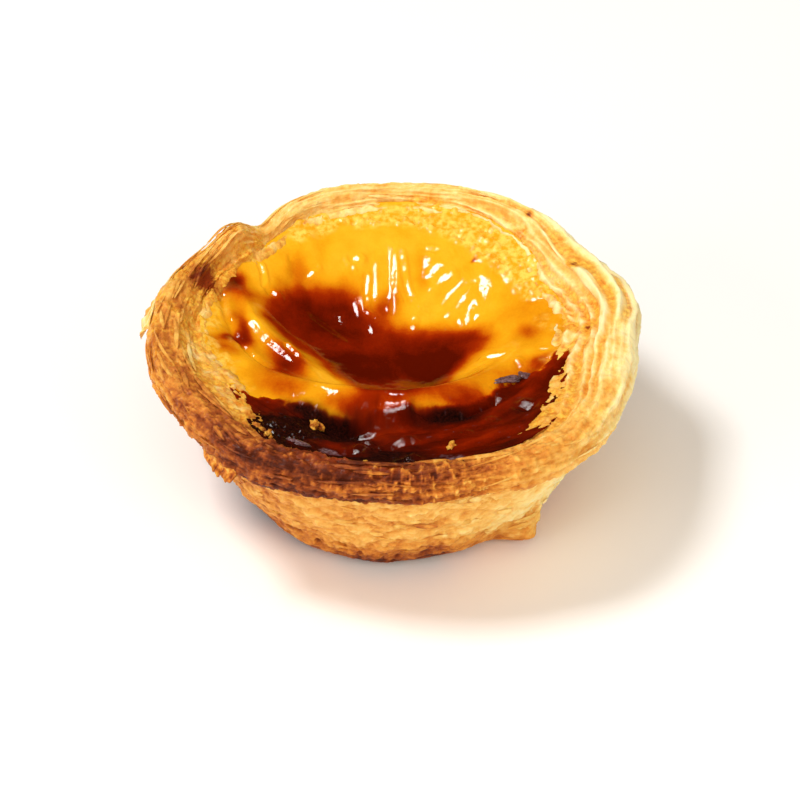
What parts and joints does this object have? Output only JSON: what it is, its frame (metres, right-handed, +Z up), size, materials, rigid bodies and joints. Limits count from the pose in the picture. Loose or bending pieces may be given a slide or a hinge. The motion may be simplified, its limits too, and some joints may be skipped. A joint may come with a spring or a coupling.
{
  "type": "portuguese custard tart",
  "caption": "Small baked tart: a flaky puff pastry cup with an uneven overhanging rim, filled with custard whose glossy skin has sunk, folded and scorched.",
  "frame": {"origin": "the middle of the flat underside, on the surface the tart stands on", "axes": "+Z up, -Y towards the scorched front edge, +X to the right seen from that edge"},
  "size_m": [0.074, 0.0736, 0.0301],
  "materials": {
    "golden_pastry": "flaky baked puff pastry, pale golden on the wall and toasted brown on the lip",
    "glossy_custard": "glossy baked egg custard, yellow, with caramel brown and black scorched patches"
  },
  "bodies": {
    "root": {"pastry_case": "golden_pastry", "custard_filling": "glossy_custard"}
  },
  "joints": []
}
